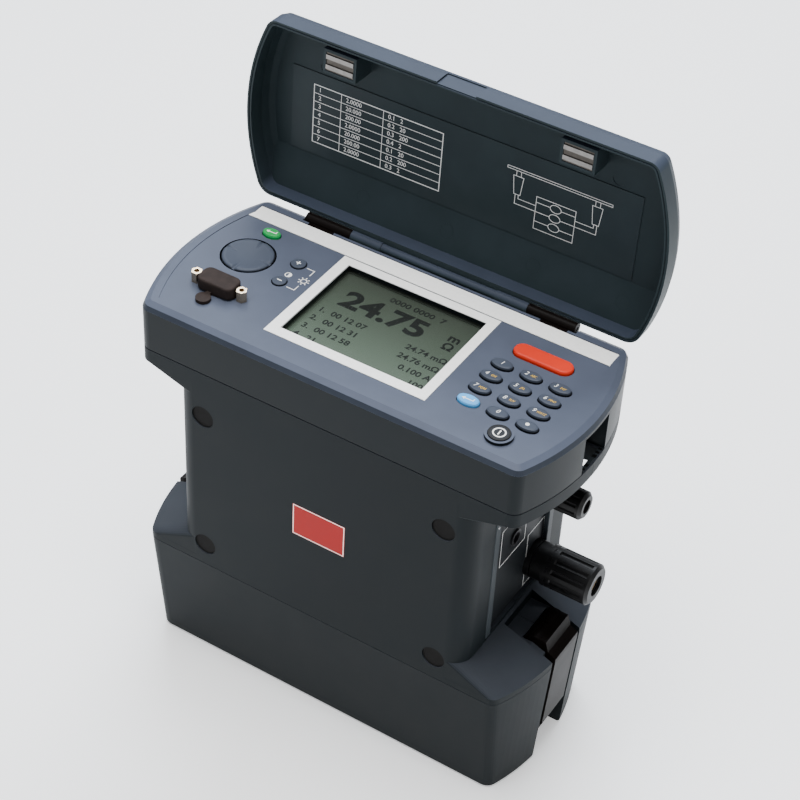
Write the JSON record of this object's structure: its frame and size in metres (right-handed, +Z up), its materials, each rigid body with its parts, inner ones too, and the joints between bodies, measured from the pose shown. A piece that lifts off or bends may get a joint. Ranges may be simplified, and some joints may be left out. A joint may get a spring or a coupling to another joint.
{
  "type": "micro ohmmeter",
  "caption": "Portable bench instrument for very small resistances: lidded control head, column with clamp terminals, clipped battery base.",
  "frame": {"origin": "centre of the flat underside of the battery base", "axes": "+X to the right along the front, +Y from front to back, +Z up"},
  "size_m": [0.226, 0.1185, 0.3129],
  "materials": {
    "case_plastic": "fine moulded texture",
    "head_plastic": "fine moulded texture",
    "base_plastic": "fine moulded texture",
    "lid_plastic": "fine moulded texture",
    "side_plastic": "satin",
    "strip_white": "satin",
    "frame_white": "satin",
    "window_glass": "clear",
    "lcd": "display",
    "board": "solder resist",
    "mat_rubber": "matt",
    "key_plastic": "smooth",
    "blue_key": "smooth",
    "test_red": "smooth",
    "enter_green": "smooth",
    "power_dark": "smooth",
    "connector_metal": "tinned",
    "standoff_brass": "plated",
    "cover_rubber": "matt",
    "terminal_black": "glossy",
    "stud_brass": "turned",
    "socket_black": "satin",
    "badge_red": "satin",
    "screw_steel": "plated",
    "plug_rubber": "matt",
    "cell_wrap": "shrink wrap",
    "contact_brass": "plated",
    "clip_plastic": "satin",
    "pin_steel": "ground",
    "label_print": "printed",
    "magnet_dark": "sintered",
    "pole_steel": "ground"
  },
  "bodies": {
    "instrument": {"top_cover": "head_plastic", "front_case": "case_plastic", "rear_case": "case_plastic", "side_panel_right": "side_plastic", "side_panel_left": "side_plastic", "title_strip": "strip_white", "display_frame": "frame_white", "display_glass": "window_glass", "lcd_module": "lcd", "main_board": "board", "key_mat": "mat_rubber", "control_mat": "mat_rubber", "serial_connector": "connector_metal", "serial_standoffs": "standoff_brass", "terminal_collars": "terminal_black", "terminal_studs": "stud_brass", "side_socket": "socket_black", "badge_plate": "badge_red", "case_screws": "screw_steel", "screw_plugs": "plug_rubber", "power_board": "board", "battery_case": "base_plastic", "battery_cover": "base_plastic", "battery_cells": "cell_wrap", "battery_contacts": "contact_brass", "clip_pins": "pin_steel", "keeper_plates": "pin_steel", "hinge_leaves": "clip_plastic", "hinge_pins": "pin_steel"},
    "lid_assembly": {"lid": "lid_plastic", "lid_label": "label_print", "lid_magnets": "magnet_dark", "magnet_poles": "pole_steel"},
    "key_1_body": {"key_1": "key_plastic"},
    "key_2_body": {"key_2": "key_plastic"},
    "key_3_body": {"key_3": "key_plastic"},
    "key_4_body": {"key_4": "key_plastic"},
    "key_5_body": {"key_5": "key_plastic"},
    "key_6_body": {"key_6": "key_plastic"},
    "key_7_body": {"key_7": "key_plastic"},
    "key_8_body": {"key_8": "key_plastic"},
    "key_9_body": {"key_9": "key_plastic"},
    "key_blue_body": {"key_blue": "blue_key"},
    "key_0_body": {"key_0": "key_plastic"},
    "key_dot_body": {"key_dot": "key_plastic"},
    "test_button_body": {"test_button": "test_red"},
    "enter_key_body": {"enter_key": "enter_green"},
    "plus_key_body": {"plus_key": "key_plastic"},
    "minus_key_body": {"minus_key": "key_plastic"},
    "power_key_body": {"power_key": "power_dark"},
    "cursor_pad_body": {"cursor_pad": "key_plastic"},
    "serial_cover_body": {"serial_cover": "cover_rubber"},
    "current_cap_right_body": {"current_cap_right": "terminal_black"},
    "current_cap_left_body": {"current_cap_left": "terminal_black"},
    "potential_cap_right_body": {"potential_cap_right": "terminal_black"},
    "potential_cap_left_body": {"potential_cap_left": "terminal_black"},
    "clip_right_body": {"clip_right": "clip_plastic"},
    "clip_left_body": {"clip_left": "clip_plastic"}
  },
  "joints": [
    {"name": "key_1_press", "type": "slide", "parent": "instrument", "child": "key_1_body", "axis": [0, 0, -1], "range_m": [0, 0.001], "stiffness_N_per_m": 300, "springref_m": -0.0005},
    {"name": "key_2_press", "type": "slide", "parent": "instrument", "child": "key_2_body", "axis": [0, 0, -1], "range_m": [0, 0.001], "stiffness_N_per_m": 300, "springref_m": -0.0005},
    {"name": "key_3_press", "type": "slide", "parent": "instrument", "child": "key_3_body", "axis": [0, 0, -1], "range_m": [0, 0.001], "stiffness_N_per_m": 300, "springref_m": -0.0005},
    {"name": "key_4_press", "type": "slide", "parent": "instrument", "child": "key_4_body", "axis": [0, 0, -1], "range_m": [0, 0.001], "stiffness_N_per_m": 300, "springref_m": -0.0005},
    {"name": "key_5_press", "type": "slide", "parent": "instrument", "child": "key_5_body", "axis": [0, 0, -1], "range_m": [0, 0.001], "stiffness_N_per_m": 300, "springref_m": -0.0005},
    {"name": "key_6_press", "type": "slide", "parent": "instrument", "child": "key_6_body", "axis": [0, 0, -1], "range_m": [0, 0.001], "stiffness_N_per_m": 300, "springref_m": -0.0005},
    {"name": "key_7_press", "type": "slide", "parent": "instrument", "child": "key_7_body", "axis": [0, 0, -1], "range_m": [0, 0.001], "stiffness_N_per_m": 300, "springref_m": -0.0005},
    {"name": "key_8_press", "type": "slide", "parent": "instrument", "child": "key_8_body", "axis": [0, 0, -1], "range_m": [0, 0.001], "stiffness_N_per_m": 300, "springref_m": -0.0005},
    {"name": "key_9_press", "type": "slide", "parent": "instrument", "child": "key_9_body", "axis": [0, 0, -1], "range_m": [0, 0.001], "stiffness_N_per_m": 300, "springref_m": -0.0005},
    {"name": "key_blue_press", "type": "slide", "parent": "instrument", "child": "key_blue_body", "axis": [0, 0, -1], "range_m": [0, 0.001], "stiffness_N_per_m": 300, "springref_m": -0.0005},
    {"name": "key_0_press", "type": "slide", "parent": "instrument", "child": "key_0_body", "axis": [0, 0, -1], "range_m": [0, 0.001], "stiffness_N_per_m": 300, "springref_m": -0.0005},
    {"name": "key_dot_press", "type": "slide", "parent": "instrument", "child": "key_dot_body", "axis": [0, 0, -1], "range_m": [0, 0.001], "stiffness_N_per_m": 300, "springref_m": -0.0005},
    {"name": "test_button_press", "type": "slide", "parent": "instrument", "child": "test_button_body", "axis": [0, 0, -1], "range_m": [0, 0.001], "stiffness_N_per_m": 300, "springref_m": -0.0005},
    {"name": "enter_key_press", "type": "slide", "parent": "instrument", "child": "enter_key_body", "axis": [0, 0, -1], "range_m": [0, 0.001], "stiffness_N_per_m": 300, "springref_m": -0.0005},
    {"name": "plus_key_press", "type": "slide", "parent": "instrument", "child": "plus_key_body", "axis": [0, 0, -1], "range_m": [0, 0.001], "stiffness_N_per_m": 300, "springref_m": -0.0005},
    {"name": "minus_key_press", "type": "slide", "parent": "instrument", "child": "minus_key_body", "axis": [0, 0, -1], "range_m": [0, 0.001], "stiffness_N_per_m": 300, "springref_m": -0.0005},
    {"name": "power_key_press", "type": "slide", "parent": "instrument", "child": "power_key_body", "axis": [0, 0, -1], "range_m": [0, 0.001], "stiffness_N_per_m": 300, "springref_m": -0.0005},
    {"name": "cursor_pad_rock", "type": "hinge", "parent": "instrument", "child": "cursor_pad_body", "pos_m": [-0.0791, 0.0066, 0.212], "axis": [1, 0, 0], "range_deg": [-2.5, 2.5], "stiffness_Nm_per_rad": 0.1},
    {"name": "serial_cover_pull", "type": "slide", "parent": "instrument", "child": "serial_cover_body", "axis": [0, 0, 1], "range_m": [0, 0.012]},
    {"name": "current_cap_right_turn", "type": "hinge", "parent": "instrument", "child": "current_cap_right_body", "pos_m": [0.095, 0.017, 0.099], "axis": [1, 0, 0], "range_deg": [0, 720]},
    {"name": "potential_cap_right_turn", "type": "hinge", "parent": "instrument", "child": "potential_cap_right_body", "pos_m": [0.095, 0.004, 0.158], "axis": [1, 0, 0], "range_deg": [0, 720]},
    {"name": "clip_right_swing", "type": "hinge", "parent": "instrument", "child": "clip_right_body", "pos_m": [0.0972, 0, 0.0736], "axis": [0, -1, 0], "range_deg": [0, 90]},
    {"name": "current_cap_left_turn", "type": "hinge", "parent": "instrument", "child": "current_cap_left_body", "pos_m": [-0.095, 0.017, 0.099], "axis": [-1, 0, 0], "range_deg": [0, 720]},
    {"name": "potential_cap_left_turn", "type": "hinge", "parent": "instrument", "child": "potential_cap_left_body", "pos_m": [-0.095, 0.004, 0.158], "axis": [-1, 0, 0], "range_deg": [0, 720]},
    {"name": "clip_left_swing", "type": "hinge", "parent": "instrument", "child": "clip_left_body", "pos_m": [-0.0972, 0, 0.0736], "axis": [0, 1, 0], "range_deg": [0, 90]},
    {"name": "lid_hinge", "type": "hinge", "parent": "instrument", "child": "lid_assembly", "pos_m": [0, 0.0475, 0.2155], "axis": [-1, 0, 0], "range_deg": [-92, 13]}
  ]
}
